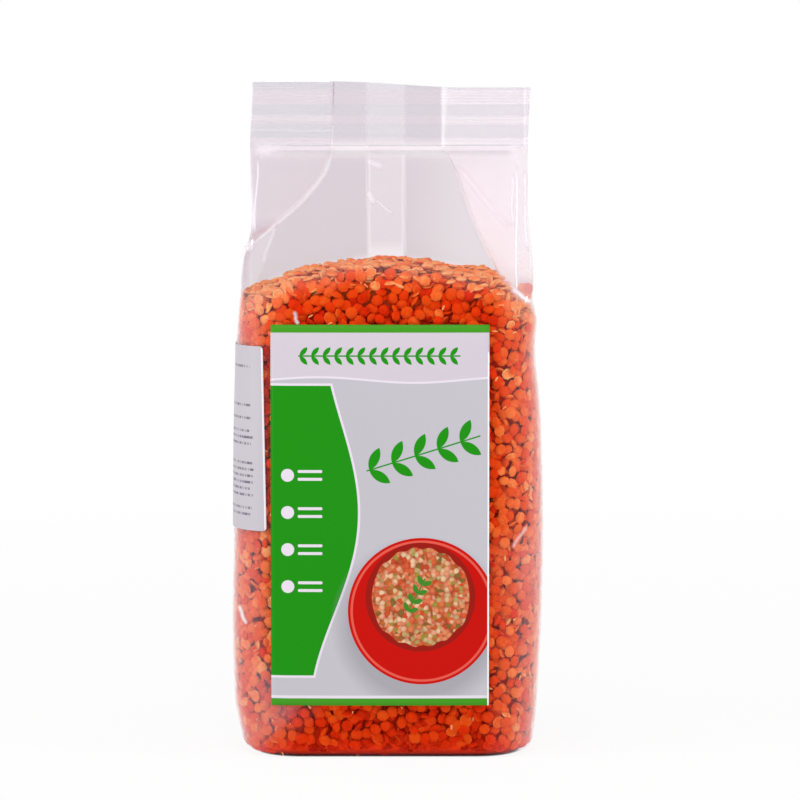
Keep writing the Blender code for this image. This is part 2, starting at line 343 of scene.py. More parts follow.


# %% [markdown]
# ## Clear film
#
# Clear film does three things to light. It lets most of it through, it scatters a little as milk
# where it is folded, and it mirrors the lamps, most of all where it is seen edge on. Milk is also
# painted down its corners as painted reflection and along the heap's surface as painted light, and a
# grey share of painted shade darkens it in places. So a transparent shader, a dull one and a mirror
# are mixed. How much milk and painted shade there is comes as two numbers kept at each point. A third
# one, the gleam, makes creases shine, and a fourth, which only the fin has, gives its plain bands a
# cool grey. The mirror follows the rule of glass: little head on, rising with the fifth power of the
# lean.

# %% Film material
FILM_TINT = (0.980, 0.963, 0.972)
MILK = (0.93, 0.87, 0.915)
# Colour of the painted shade that greys the film
PAINTED_SHADE_COLOUR = (0.27, 0.12, 0.25)
COOL = (0.30, 0.60, 0.65)
HEAD_ON_MIRROR = 0.0006
DULL_FOOT = 2.2 * MM  # height under which the film mirrors only the dark gap under it
MIRROR_RISE = 3 * MM  # and the height over that in which its mirror comes in


def clear_film():
    """Clear film where there is nothing to scatter light, dull where there is, and the mirror over
    both by its share. Two faces mirror 2 m / (1 + m) when one mirrors m."""
    finish = Finish("clear film")
    edge_on = finish.wire("ShaderNodeLayerWeight", inputs={"Blend": 0.5}, output="Facing")
    height = finish.parts(finish.place())[2]
    off_floor = ((height - DULL_FOOT) / MIRROR_RISE).clamp()
    one_face = HEAD_ON_MIRROR + (1 - HEAD_ON_MIRROR) * edge_on ** 5 * off_floor
    both_faces = 2 * one_face / (1 + one_face)
    shine = both_faces.most(finish.number("gleam")).clamp()
    clouds = finish.noise(55, 3)
    milk = finish.number("milk") * (0.7 + 0.6 * clouds)
    cool = finish.number("cool")
    milk_and_painted_shade = milk + finish.number("smoke")
    scattering = (milk_and_painted_shade + cool).clamp()
    ripples = finish.bump(finish.noise(260, 2), 0.04 * MM)
    through_film = finish.wire("ShaderNodeBsdfTransparent", inputs={"Color": (*FILM_TINT, 1)})
    colour = finish.mix(milk / milk_and_painted_shade.most(0.001), PAINTED_SHADE_COLOUR, MILK)
    colour = finish.mix(cool / scattering.most(0.001), colour, COOL)
    dull = finish.principled(Base_Color=colour, Roughness=0.5, Specular_IOR_Level=0.2, Normal=ripples)
    mirror = finish.principled(Base_Color=(1, 1, 1), Metallic=1.0, Roughness=0.07, Normal=ripples)
    return finish.done(finish.blend(shine, finish.blend(scattering, through_film, dull), mirror))


film_material = clear_film()
print("made", film_material.name)

# %% [markdown]
# ## Lentils
#
# A split lentil is half of a lens: domed on one side and nearly flat on the other. Some stay whole.
# Both are a circle turned about its axis, about 3.8 mm across, with few faces because there are
# thousands. Their colour runs from deep orange red to peach, so each copy carries one number, random
# but for painted shade and painted light added in places, that the material turns into a colour.


# %% Lentil shapes and how copies are placed
LENTIL_RADIUS = 1.9 * MM
LENS_SIDES = 8
LENS_RINGS = (32, 64, 90, 132)  # angles from the top, in degrees
# How much paler each lentil's rim is, as painted light on its thin edge
RIM_PAINTED_LIGHT = 0.14


def lens(top, bottom):
    """A lens of radius 1 in rings: at angle p from the top its radius is sin p to the power 0.9, and its
    height cos p times the thickness of that side. Returns its points, and its faces as arrays of
    triangles and of quads."""
    angles = np.radians(LENS_RINGS)
    turn = np.arange(LENS_SIDES) / LENS_SIDES * 2 * np.pi
    radius = np.sin(angles)[:, None] ** 0.9
    height = np.cos(angles) * np.where(np.cos(angles) > 0, top, bottom)
    ring_height = np.broadcast_to(height[:, None], (len(angles), LENS_SIDES))
    rings = np.stack([radius * np.cos(turn), radius * np.sin(turn), ring_height], axis=-1).reshape(-1, 3)
    points = np.vstack([rings, [[0, 0, top], [0, 0, -bottom]]])
    quads = grid_faces(len(angles), LENS_SIDES, closed=True)[:, ::-1]
    here = np.arange(LENS_SIDES)
    after = (here + 1) % LENS_SIDES
    last = len(rings) - LENS_SIDES
    top_cap = np.stack([here, after, 0 * here + len(rings)], axis=-1)
    bottom_cap = np.stack([last + after, last + here, 0 * here + len(rings) + 1], axis=-1)
    return points, np.vstack([top_cap, bottom_cap]), quads


WHOLE = lens(0.42, 0.42)
SPLIT = lens(0.45, 0.08)


def sideways(axes):
    """Two unit vectors square to each axis and to each other."""
    helper = np.where(np.abs(axes[:, 2:]) < 0.9, [[0, 0, 1.0]], [[1.0, 0, 0]])
    first = np.cross(axes, helper)
    first /= np.linalg.norm(first, axis=1, keepdims=True)
    return first, np.cross(axes, first)


def tilted(axes, angles):
    """Each axis leaned over by an angle, to a random side."""
    first, second = sideways(axes)
    turn = draw.uniform(0, 2 * np.pi, len(axes))[:, None]
    lean = first * np.cos(turn) + second * np.sin(turn)
    return axes * np.cos(angles)[:, None] + lean * np.sin(angles)[:, None]


def scatter(name, shape, centres, axes, sizes, shades, material):
    """One mesh of many copies: size times the shape's points, turned so that +Z is the copy's axis.
    Each is spun about that axis and is up to a fifth narrower one way. Its rim is paler, as painted light on
    the thin edge."""
    points, triangles, quads = shape
    first, second = sideways(axes)
    spin = draw.uniform(0, 2 * np.pi, len(axes))[:, None]
    first, second = first * np.cos(spin) + second * np.sin(spin), second * np.cos(spin) - first * np.sin(spin)
    second = second * draw.uniform(0.8, 1, len(axes))[:, None]
    turned = sum(points[None, :, k:k + 1] * way[:, None] for k, way in enumerate((first, second, axes)))
    everything = centres[:, None] + sizes[:, None, None] * turned
    starts = np.arange(len(centres))[:, None, None] * len(points)
    faces = (triangles[None] + starts).reshape(-1, 3).tolist()
    faces += (quads[None] + starts).reshape(-1, 4).tolist()
    rim = np.linalg.norm(points[:, :2], axis=1) > 0.99
    return make_piece(name, everything, faces, material, {"shade": shades[:, None] + RIM_PAINTED_LIGHT * rim[None]})


def spread_out(places, spacing):
    """Which places to keep so that no two are nearer than spacing, taken in order."""
    kept = np.empty((len(places), 3))
    chosen = []
    for index, place in enumerate(places):
        near = kept[:len(chosen)] - place
        if not chosen or (near * near).sum(axis=1).min() > spacing ** 2:
            kept[len(chosen)] = place
            chosen.append(index)
    return np.array(chosen)


draw = np.random.default_rng(23)
print("whole lentil:", len(WHOLE[0]), "points; split lentil:", len(SPLIT[0]), "points")

# %% Lentil material
LENTIL_COLOURS = [
    (0.0, (0.34, 0.006, 0.001)),
    (0.3, (0.72, 0.026, 0.001)),
    (0.6, (0.77, 0.077, 0.005)),
    (0.85, (0.92, 0.21, 0.042)),
    (1.0, (0.93, 0.48, 0.19)),
]


def lentil_skin():
    """Each copy's number, a little changed in soft patches, picks its colour from the ramp."""
    finish = Finish("lentils")
    patches = finish.noise(900, 2)
    shade = (finish.number("shade") + 0.3 * (patches - 0.5)).clamp()
    grain = finish.bump(finish.noise(2500, 2), 0.05 * MM)
    colour = finish.ramp(shade, LENTIL_COLOURS)
    skin = finish.principled(Base_Color=colour, Roughness=0.45, Specular_IOR_Level=0.02, Normal=grain)
    return finish.done(skin)


lentil_material = lentil_skin()
print("made", lentil_material.name)

# %% [markdown]
# ## Lentils against the film
#
# The lentils that show are those that press on the film. Places are drawn at random over the film
# and kept only where no other is near, which packs them as evenly as poured lentils lie. Most lie
# flat on the film, and some stand on edge. Each is pushed inwards by its own reach towards the film,
# so none pokes through. A second, deeper set fills the gaps.

# %% Where the heap ends
HEAP_TOP = [(-44, 137.2), (-40, 138.9), (-33.5, 141.2), (-27.5, 143.8), (-20, 145.2), (-12, 146.4),
            (-4, 147.3), (5, 146.8), (12, 146.1), (18, 144.9), (26, 144.0), (31, 142.9), (35, 139.0),
            (42, 132.4)]  # pairs of x and the surface's height there, in mm
HEAP_FALL = 4.6
HEAP_HALF_DEPTH = 26


def heap_height(x, y):
    """Height of the heap's surface over a place, in metres: a profile from left to right, less a fall
    that grows with the square of the way to the front or the back, plus slow waves."""
    across, deep = np.asarray(x) / MM, np.asarray(y) / MM
    waves = 0.4 * np.sin(across / 3.9 + 1) * np.cos(deep / 5.1) + 0.3 * np.sin(across / 2.1 + deep / 3.3)
    return (through(HEAP_TOP, x) - HEAP_FALL * (deep / HEAP_HALF_DEPTH) ** 2 + waves) * MM


print("heap's surface in the middle:", round(float(heap_height(0, 0)) / MM, 1), "mm")


# %% Lentils at the film
FILM_SPACING = 2.25 * MM
FILM_CLEARANCE = 0.12 * MM
THICKNESS_SHARE = 0.42
SIDE_SHEET_X = 40 * MM
HEAP_CREST = 148 * MM


def reach(axes, normals, sizes):
    """How far a lens stands out from its centre towards a normal: that of an ellipsoid."""
    along = (axes * normals).sum(axis=1)
    return sizes * np.sqrt(1 - along ** 2 * (1 - THICKNESS_SHARE ** 2))


def draw_sizes(count):
    """Radii in metres, most of them within 7 percent of the mean."""
    return LENTIL_RADIUS * np.clip(draw.normal(1, 0.07, count), 0.82, 1.18)


def draw_tilts(count, flat_share):
    """Mostly small leans, and for the rest any lean up to standing on edge."""
    small = np.abs(draw.normal(0, 0.2, count))
    any_lean = draw.uniform(0.3, 1.5, count)
    return np.where(draw.uniform(0, 1, count) < flat_share, small, any_lean)


def draw_heights(count):
    """Heights that are spread evenly along the film, whose rounded foot is a quarter circle."""
    foot = BASE_ROUNDING * (1 - np.cos(draw.uniform(0, np.pi / 2, count)))
    side = draw.uniform(BASE_ROUNDING, HEAP_CREST, count)
    return np.where(draw.uniform(0, 1, count) < 0.05, foot, side)


def pressed_on_film(share, heights, depths, flat_share):
    """Centres, axes, sizes and film places of lentils under given places, at depths from a range. On
    the side sheets they press closer."""
    places, normals = on_film(share, heights), on_film(share, heights, table_normals)
    sizes = draw_sizes(len(share))
    axes = tilted(normals, draw_tilts(len(share), flat_share))
    depth = draw.uniform(*depths, len(share)) * np.where(np.abs(places[:, 0]) > SIDE_SHEET_X, 0.3, 1)
    inwards = reach(axes, normals, sizes) + FILM_CLEARANCE + depth * MM
    centres = places - normals * inwards[:, None]
    lowest = reach(axes, np.broadcast_to([0, 0, -1.0], axes.shape), sizes) + 2 * FILM_CLEARANCE
    centres[:, 2] = np.maximum(centres[:, 2], lowest)
    return centres, axes, sizes, places


def layer_under_film(count, spacing, depths, flat_share):
    """Lentils under random places all over the full part of the film."""
    share, heights = draw.uniform(0, 1, count), draw_heights(count)
    places = on_film(share, heights)
    below = heights < heap_height(places[:, 0], places[:, 1]) - 0.6 * MM
    share, heights = share[below], heights[below]
    keep = spread_out(places[below], spacing)
    return pressed_on_film(share[keep], heights[keep], depths, flat_share)


def base_layer(count, spacing):
    """Lentils that lie on the flat of the base."""
    share, part = draw.uniform(0, 1, count), np.sqrt(draw.uniform(0, 1, count))
    places = on_film(share, 0 * share) * part[:, None]
    keep = spread_out(places, spacing)
    sizes = draw_sizes(len(keep))
    down = np.tile([0.0, 0.0, -1.0], (len(keep), 1))
    axes = tilted(down, draw_tilts(len(keep), 0.8))
    raised = reach(axes, down, sizes) + 3 * FILM_CLEARANCE + draw.uniform(0, 0.3, len(keep)) * MM
    return places[keep] + [0, 0, 1] * raised[:, None], axes, sizes


# A few lie higher, in the pocket between the front panel and the right pleat. Each has its column of
# the film and its height in mm.
POCKET = np.array([(26.2, 139.6), (27.3, 139.4), (26.4, 137.6), (27.6, 137.2), (26.7, 135.7), (28, 135.2),
                   (26, 134.4)])

# Places tried, spacing, range of depths in mm, and the share that lies flat
at_film = layer_under_film(45000, FILM_SPACING, (0, 1.3), 0.7)
behind = layer_under_film(24000, FILM_SPACING * 1.1, (1.2, 2.0), 0.6)
on_base = base_layer(2500, FILM_SPACING)
pocket = pressed_on_film(POCKET[:, 0] / COLUMNS, POCKET[:, 1] * MM, (0, 0.3), 1)
print("lentils at the film:", len(at_film[0]), "behind:", len(behind[0]), "on the base:", len(on_base[0]))

# %% Chips of lentils, pale as painted glints
CHIP_TRIES = 420
CHIP_SPACING = 5 * MM
CHIP = (SPLIT[0] * [1.5, 0.55, 1], *SPLIT[1:])

chip_places, chip_axes, _, chip_feet = layer_under_film(CHIP_TRIES, CHIP_SPACING, (0, 0.2), 0.2)
chip_sizes = draw.uniform(0.35, 0.75, len(chip_places)) * MM
# Each chip is drawn back to the film until only its own size lies between
way_in = chip_feet - chip_places
chip_centres = chip_feet - way_in * (chip_sizes / np.linalg.norm(way_in, axis=1))[:, None]
print("chips:", len(chip_centres))


# %% Lentils on top of the heap
def film_nearby(places):
    """Each place's distance inside the film, and the outward normal there, from the table."""
    rows = np.clip((places[:, 2] / TABLE_STEP).astype(int), 0, len(table_heights) - 1)
    away = places[:, None, :2] - table[rows, ::4, :2]
    nearest = (away ** 2).sum(axis=2).argmin(axis=1)
    normals = table_normals[rows, nearest * 4]
    flat_away = away[np.arange(len(places)), nearest]
    return -(flat_away * normals[:, :2]).sum(axis=1), normals


def heap_layer(count, spacing, lowered, flat_share):
    """Centres, axes and sizes of lentils that lie on the heap, lowered by a depth."""
    x, y = draw.uniform(-44, 44, count) * MM, draw.uniform(-21, 21, count) * MM
    places = np.stack([x, y, heap_height(x, y) - lowered], axis=1)
    places = places[film_nearby(places)[0] > 0.8 * MM]
    places = places[spread_out(places, spacing)]
    sizes = draw_sizes(len(places))
    up = np.tile([0.0, 0.0, 1.0], (len(places), 1))
    axes = tilted(up, draw_tilts(len(places), flat_share))
    places[:, 2] += draw.uniform(-0.4, 0.5, len(places)) * MM - reach(axes, up, sizes) * 0.6
    room, normals = film_nearby(places)
    in_pleat = np.abs(places[:, 0]) > 33 * MM
    fits = room > np.where(in_pleat, 0.95 * sizes, reach(axes, normals, sizes)) + FILM_CLEARANCE
    return places[fits], axes[fits], sizes[fits]


# Places tried, spacing, how far the layer is lowered, and the share that lies flat
on_heap = heap_layer(9000, FILM_SPACING, 0, 0.75)
in_heap = heap_layer(5000, FILM_SPACING, 2.0 * MM, 0.5)
deep_in_heap = heap_layer(5000, FILM_SPACING, 4.0 * MM, 0.5)
print("lentils on the heap:", len(on_heap[0]), "under them:", len(in_heap[0]) + len(deep_in_heap[0]))


# %% Make the lentil pieces
SPLIT_SHARE = 0.6
DOME_IN_SHARE = 0.35
SHADE_SPREAD = 0.12
SIDE_LABEL = (-37.0, 52.0, 68.0, 122.6)  # right edge, width, lower and upper edge, in mm


def fading(distance, reach):
    """1 at no distance, and down to 0 at the reach."""
    return np.clip(1 - distance / reach, 0, 1)


def lentil_pieces(name, layers, mean_shade):
    """The layers' lentils as two pieces, the split ones and the whole ones. Those at the foot of the
    bag are darker as painted shade, those along the sticker's edge carry its painted shadow, and those
    near the heap's surface are paler as painted light. So, a little, are those at the sides."""
    centres, axes, sizes = (np.concatenate([layer[k] for layer in layers]) for k in range(3))
    x, y, z = (centres / MM).T
    # Painted shade: darker towards the foot of the bag
    painted_darkening = 0.12 * fading(z, 16) + 0.5 * fading(z, 5)
    # Painted shadow of the sticker's raised edge, on the lentils just right of it
    in_sticker_shadow = (np.abs(x - SIDE_LABEL[0] - 1.2) < 1.6) & (y < 0) & (np.abs(z - 95) < 27)
    painted_darkening += 0.4 * in_sticker_shadow
    under = heap_height(centres[:, 0], centres[:, 1]) / MM - z
    # Painted light: paler near the heap's surface and towards the sides
    painted_paleness = 0.3 * fading(under, 9) + 0.27 * fading(35 - np.abs(x), 7)
    shades = np.clip(draw.normal(mean_shade - painted_darkening + painted_paleness, SHADE_SPREAD), 0, 0.9)
    split = draw.uniform(0, 1, len(centres)) < SPLIT_SHARE
    flipped = draw.uniform(0, 1, len(centres)) < DOME_IN_SHARE
    axes = np.where((split & flipped)[:, None], -axes, axes)
    made = []
    for kind, shape, chosen in (("split", SPLIT, split), ("whole", WHOLE, ~split)):
        made.append(scatter(f"{kind}_lentils_{name}", shape, centres[chosen], axes[chosen], sizes[chosen],
                            shades[chosen], lentil_material))
    return made


lentils = lentil_pieces("at_the_film", [at_film, pocket], 0.42)
lentils += lentil_pieces("behind", [behind, on_base], 0.35)
# The lentils on the heap get a paler mean, as painted light from above
lentils += lentil_pieces("on_top", [on_heap, in_heap, deep_in_heap], 0.66)
# Small chips of lentil whose cream colour is a painted glint
lentils.append(scatter("lentil_chips_as_painted_glints", CHIP, chip_centres, chip_axes, chip_sizes,
                       draw.uniform(0.85, 1, len(chip_sizes)), lentil_material))

# %% [markdown]
# ## The core of the heap
#
# Nobody sees past the second layer, so the rest of the heap is one dark body. It is the film's own
# outline moved inwards, closed by a flat base and by the heap's surface lowered a little.

# %% Core
CORE_INSET, FOOT_INSET = 4.2 * MM, 0.4 * MM
CORE_FOOT = 0.25 * MM
CORE_SHOULDER = 136 * MM  # where the film's outline gives the place of the core's top edge
CORE_EDGE_DROP, CORE_TOP_DROP = 3.4 * MM, 2.7 * MM
CORE_SIDES = 120


def heap_core(material):
    """Rows from the middle of the base out to its rim, up the side nearly to the heap's surface, and in
    over the top to the middle. A side point is the film's point less its normal times the inset, which
    is small at the foot, so that no light shows there."""
    share = np.arange(CORE_SIDES) / CORE_SIDES
    shoulder = on_film(share, 0 * share + CORE_SHOULDER)
    side_tops = heap_height(shoulder[:, 0], shoulder[:, 1]) - CORE_EDGE_DROP
    rise = np.linspace(0, 1, 50)[:, None]
    heights = CORE_FOOT + rise ** 1.3 * (side_tops - CORE_FOOT)[None]
    spread = np.broadcast_to(share[None], heights.shape)
    inset = CORE_INSET - (CORE_INSET - FOOT_INSET) * fading(heights, 9 * MM)
    side = on_film(spread, heights) - inset[..., None] * on_film(spread, heights, table_normals)
    side[..., 2] = np.maximum.accumulate(side[..., 2], axis=0)
    base = on_film(share, 0 * share) * np.array([0.02, 0.5, 0.98])[:, None, None]
    base[..., 2] = CORE_FOOT
    inwards = np.linspace(0.96, 0.02, 12)[:, None, None]
    top = side[-1] * inwards
    top[..., 2] = heap_height(top[..., 0], top[..., 1]) - CORE_TOP_DROP
    points = np.concatenate([base, side, top])
    rows = len(points)
    faces = grid_faces(rows, CORE_SIDES, closed=True).tolist()
    faces.append(list(range(CORE_SIDES))[::-1])
    faces.append(list(range((rows - 1) * CORE_SIDES, rows * CORE_SIDES)))
    return make_piece("heap_core", points, faces, material)


def core_colours_with_painted_light():
    """Orange red in patches, paler peach from 131 mm up as painted light, and dark red at the foot as painted
    shade.
    """
    finish = Finish("between the lentils")
    patches = finish.noise(420, 2)
    height = finish.parts(finish.place())[2]
    colour = finish.mix(patches, (0.65, 0.014, 0.001), (0.92, 0.05, 0.004))
    # Painted light: paler peach from 131 mm up
    colour = finish.mix(((height - 131 * MM) / (8 * MM)).clamp() * 0.9, colour, (0.90, 0.22, 0.06))
    # Painted shade: dark red at the foot
    colour = finish.mix((1.2 - height / (2.5 * MM)).clamp(), colour, (0.10, 0.001, 0.0005))
    return finish.done(finish.principled(Base_Color=colour, Roughness=0.8, Specular_IOR_Level=0.1))


core = heap_core(core_colours_with_painted_light())

# %% [markdown]
# ## The film
#
# The film is the loft itself, fine enough to dip between the lentils it lies on: each point looks
# for its nearest lentil and sinks as that gets further away. Above the heap the film is smooth, with
# slow waves. It is greyed by painted shade where the panels are flat and milky where it is pleated, and
# two milky bands of painted reflection run down the corners of the full part. A wing of clearer film
# hangs under the left pleat, and a small milky pocket sits at the foot of the right one.

# %% Film points
FILM_COLUMNS = AROUND // 4
DIP = 0.2 * MM
DIP_START, DIP_END = 1.1 * MM, 3.0 * MM
LEFT_PLEAT = (2 * PANEL_COLUMNS + SIDE_COLUMNS * 1.5) / COLUMNS
RIGHT_PLEAT = (PANEL_COLUMNS + SIDE_COLUMNS / 2) / COLUMNS
SEAM_CENTRE = -1.4
SEAM_WIDTH = 11.2
# Where each milky band of painted reflection begins and where the wing ends: pairs of a height and x, in mm
LEFT_BAND = [(0, -38), (4, -36.7), (16, -27.5), (24, -33), (32, -37.8), (130, -38.2)]
LEFT_WING = [(138, -41.5), (145.6, -37.9), (156, -34.4)]
RIGHT_BAND = [(0, 36), (30, 37.5), (62, 36.5), (71, 40.3), (100, 39.6), (130, 39)]
# Steps of painted reflection down the corners, each its milk and where it comes in
PAINTED_SHEEN_STEPS = [(0.035, -10, 0), (0.03, -1.2, 1.2), (0.08, -1, 6)]  # milk, and where it comes in
STRIP_HEIGHT, STRIP_REACH = 179.9, 1.9
LEVEL_LINES = (181, 179.3, 178.4)


def smooth_step(low, high, value):
    """0 up to low, 1 from high, and between them 3 t^2 - 2 t^3 of the share t of the way."""
    t = np.clip((value - low) / (high - low), 0, 1)
    return t * t * (3 - 2 * t)


def bell(value, width):
    """1 at nought, falling off on both sides as exp(-(value / width)^2)."""
    return np.exp(-((value / width) ** 2))


def nearest_distance(points, targets):
    """Distance from each point to the nearest target, a block of points at a time."""
    flat = points.reshape(-1, 3)
    found = []
    for block in np.array_split(flat, max(1, len(flat) // 2000)):
        squares = (block ** 2).sum(1)[:, None] + (targets ** 2).sum(1)[None] - 2 * block @ targets.T
        found.append(np.sqrt(np.maximum(squares.min(axis=1), 0)))
    return np.concatenate(found).reshape(points.shape[:-1])


def slow_waves(share, heights):
    """Waves of the empty film, in metres: the sum of three sines that run across and up."""
    turn = share * 2 * np.pi
    waves = np.sin(9 * turn + heights / MM / 7) + 0.7 * np.sin(17 * turn - heights / MM / 5 + 2)
    waves += 0.6 * np.sin(6 * turn + heights / MM / 3.1 + 1)
    return 0.06 * MM * waves


def panel_parts(share, heights, places):
    """Which part of the tube each point is on, as numbers from 0 to 1: the side sheets, the back, and
    the two places where a pleat lies behind the front panel or before the back one."""
    column = share % 1 * COLUMNS
    from_middle = np.abs((column + COLUMNS / 2 - PANEL_COLUMNS / 2) % (COLUMNS / 2) - COLUMNS / 4)
    on_side = smooth_step(0, 1, SIDE_COLUMNS / 2 + 0.4 - from_middle)
    on_back = smooth_step(0, 1, PANEL_COLUMNS / 2 + 1 - np.abs(column - PANEL_COLUMNS * 1.5 - SIDE_COLUMNS))
    x = places[..., 0]
    over_left = smooth_step(-0.6 * MM, 0.6 * MM, on_film(0 * share + LEFT_PLEAT, heights)[..., 0] - x)
    over_right = smooth_step(-0.6 * MM, 0.6 * MM, x - on_film(0 * share + RIGHT_PLEAT, heights)[..., 0])
    return on_side, on_back, over_left, over_right


def fin_foot(z, x):
    """The bright strip where the weld begins, and its fine level lines."""
    strip = bell(z - STRIP_HEIGHT, STRIP_REACH) * smooth_step(-42, -38, x) * smooth_step(-40, -36, -x)
    lines = sum(bell(z - at, 0.22) for at in LEVEL_LINES)
    return strip, 0.35 * lines * smooth_step(-38, -30, x) * smooth_step(-38, -34, -x)


def milk_and_painted_shade(share, heights, places):
    """How milky the film is at each point, how much painted shade it carries, and how much it gleams."""
    x, y, z = places[..., 0] / MM, places[..., 1] / MM, heights / MM
    on_side, on_back, over_left, over_right = panel_parts(share, heights, places)
    over_heap = z - heap_height(places[..., 0], places[..., 1]) / MM
    empty = smooth_step(-2, 3, over_heap)
    foot, foot_lines = fin_foot(z, x)
    # Painted shade on the empty panels, most on the back one and least on the wing, less to the right, and on
    # the left side
    on_seam = on_back * smooth_step(-0.5, 0.5, SEAM_WIDTH / 2 - np.abs(x - SEAM_CENTRE))
    panels = empty * (1 - on_side) * (1 - over_right) * (1 - 0.25 * over_left) * (1 - 0.8 * foot)
    panels = panels * (1 - 0.35 * smooth_step(0, 25, x))
    wing = (1 - on_side) * smooth_step(-158, -156.5, -z)
    wing = wing * smooth_step(-0.5, 0.5, through(LEFT_WING, heights) - x)
    smoke = panels * (0.06 * (1 - on_back) + 0.31 * on_back * (1 - on_seam)) * (1 - 0.2 * wing)
    smoke += 0.2 * empty * on_side * (x < 0) * smooth_step(-160, -153, -z)
    # Milk on the pleats, and a little painted light where the film meets the heap
    outermost = smooth_step(37.2, 38.4, x) * smooth_step(142, 152, z)
    pleats = 0.17 * (over_right + on_side * (x > 0)) * (1 - 0.7 * outermost)
    milk = empty * (pleats + 0.05 * on_side * (x < 0))
    milk += 0.05 * bell(over_heap - 0.5, 3) * (1 - on_side)
    # The pocket at the foot of the right pleat, milky and with painted shade
    in_pocket = smooth_step(37, 38, x) * smooth_step(136, 137.5, z) * smooth_step(-143, -141.5, -z) * (y < 0)
    milk += 0.06 * in_pocket
    smoke += 0.10 * in_pocket
    # Painted reflection down the corners, beyond the bands' lines, as milk with a little painted shade, but
    # less round on the sides
    beyond = np.maximum(x - through(RIGHT_BAND, heights), through(LEFT_BAND, heights) - x)
    full = (1 - empty) * (1 - 0.7 * smooth_step(0.45, 0.9, 1 - np.abs(y) / 24))
    painted_corner_sheen = sum(amount * smooth_step(low, high, beyond) for amount, low, high in PAINTED_SHEEN_STEPS)
    smoke += (0.03 + 0.04 * (x < 0)) * smooth_step(-3, 3, beyond) * full
    milk += painted_corner_sheen * (1 - 0.3 * (x < 0)) * full + 0.34 * foot
    return {"milk": milk, "smoke": smoke, "gleam": foot_lines}


# %% Film piece
BASE_GAP = 0.08 * MM


def film_tube(material):
    """Rows from the middle of the base out to its rim, then up the loft to the foot of the fin."""
    rounding = np.linspace(0, 1, 11)[1:] ** 1.6 * BASE_ROUNDING / MM
    heights = np.concatenate([rounding, np.arange(5.3, 142, 0.9), np.linspace(142.6, 180.5, 60)]) * MM
    share = np.arange(FILM_COLUMNS) / FILM_COLUMNS
    share, tall = np.broadcast_arrays(share[None], heights[:, None])
    side, normals = on_film(share, tall), on_film(share, tall, table_normals)
    filled = smooth_step(-1.5 * MM, 0.5 * MM, heap_height(side[..., 0], side[..., 1]) - tall)
    away = nearest_distance(side, at_film[3])
    relief = -DIP * smooth_step(DIP_START, DIP_END, away) * filled
    settle = smooth_step(0, 6 * MM, tall) * smooth_step(0, 10 * MM, FIN_FOOT - tall)
    relief = relief + slow_waves(share, tall) * (1 - filled) * settle
    side = side + normals * relief[..., None]
    side[..., 2] = np.maximum(side[..., 2], BASE_GAP)
    rim = on_film(share[:1], 0 * tall[:1])
    base = rim * np.array([0.02, 0.3, 0.55, 0.78, 0.92, 1])[:, None, None]
    base[..., 2] = BASE_GAP
    points = np.concatenate([base, side])
    no_number = np.zeros(base.shape[:2])
    numbers = {key: np.concatenate([no_number, values])
               for key, values in milk_and_painted_shade(share, tall, side).items()}
    faces = grid_faces(len(points), FILM_COLUMNS, closed=True).tolist()
    faces.append(list(range(FILM_COLUMNS))[::-1])
    return make_piece("film_tube", points, faces, material, numbers)


film = film_tube(film_material)

# %% [markdown]
# ## The crimped fin
#
# A heated jaw has pressed bands of fine ribs into all the layers at once. The weld is milky in thin
# level lines, and over the right pleat, where four layers met, it is white with bright dots on the
# bands. Between the bands it is a cooler grey. The layers' edges show through as upright white lines.

# %% Crimped fin
RIB_PITCH = 0.9 * MM
RIB_HEIGHT = 0.03 * MM
CRIMP_BANDS = [(181.3, 183.3), (187.3, 189.7), (193.2, 197.4)]
BAND_EDGE = 0.3
LAYER_EDGES = [(15.6, 1), (-17.4, 0.6), (40, 1), (-7.2, 0.5), (4.1, 0.3)]  # x, and how white
SPECK = 0.8  # pitch of the random lines and dots
FIN_COLUMNS = AROUND // 2
FIN_ROWS = 120


def fin_top(x):
    """Height of the cut edge, which falls smoothly from left to right."""
    return BAG_HEIGHT - FIN_TOP_DROP * smooth_step(-0.22 * FIN_WIDTH, 0.28 * FIN_WIDTH, x)


